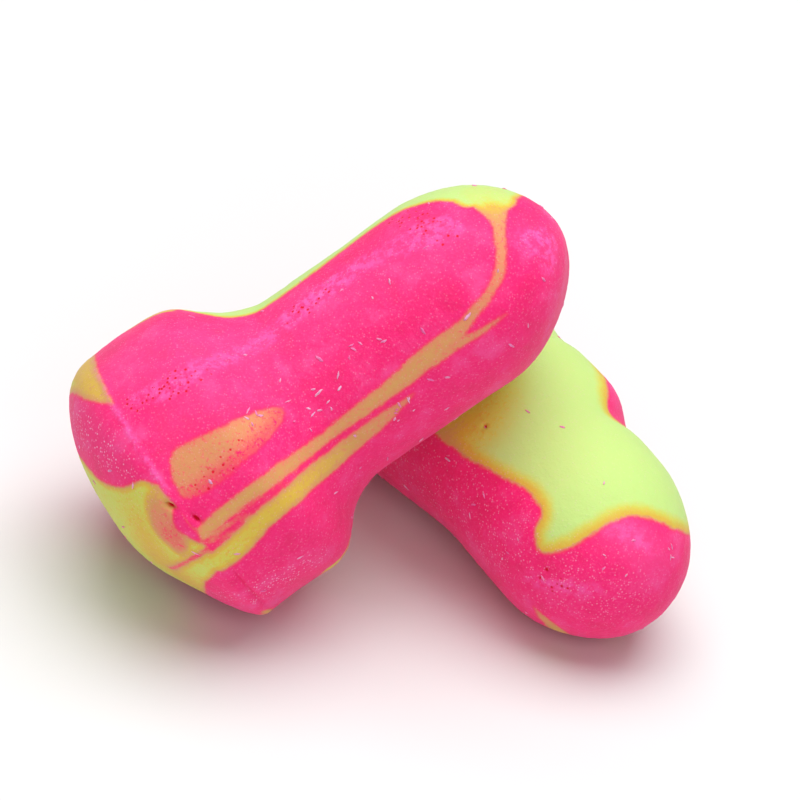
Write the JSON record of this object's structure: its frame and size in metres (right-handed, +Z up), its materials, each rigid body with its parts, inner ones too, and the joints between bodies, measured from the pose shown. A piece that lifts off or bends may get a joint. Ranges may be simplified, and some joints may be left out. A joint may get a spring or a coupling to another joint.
{
  "type": "pair of foam ear plugs",
  "caption": "Pair of one-piece flanged foam ear plugs in marbled pink and yellow-green, one lying flat and the other leaning on it.",
  "frame": {"origin": "middle of the pair's footprint, on the surface that both plugs rest on", "axes": "+Z up from that surface, +X to the right and +Y away from someone who faces the pair with the leaning plug in front"},
  "size_m": [0.0326, 0.0294, 0.0224],
  "materials": {
    "yellow_foam": "matt slow-recovery polyurethane foam, yellow-green marbled with magenta pink, closed moulded skin with fine cells",
    "pink_foam": "matt slow-recovery polyurethane foam, magenta pink marbled with yellow-green, closed moulded skin with fine cells and a raised parting line"
  },
  "bodies": {
    "lower": {"lower_plug": "yellow_foam"},
    "upper": {"upper_plug": "pink_foam"}
  },
  "joints": [
    {"name": "lift_off", "type": "slide", "parent": "lower", "child": "upper", "axis": [0, 0, 1], "range_m": [0, 0.03]}
  ]
}
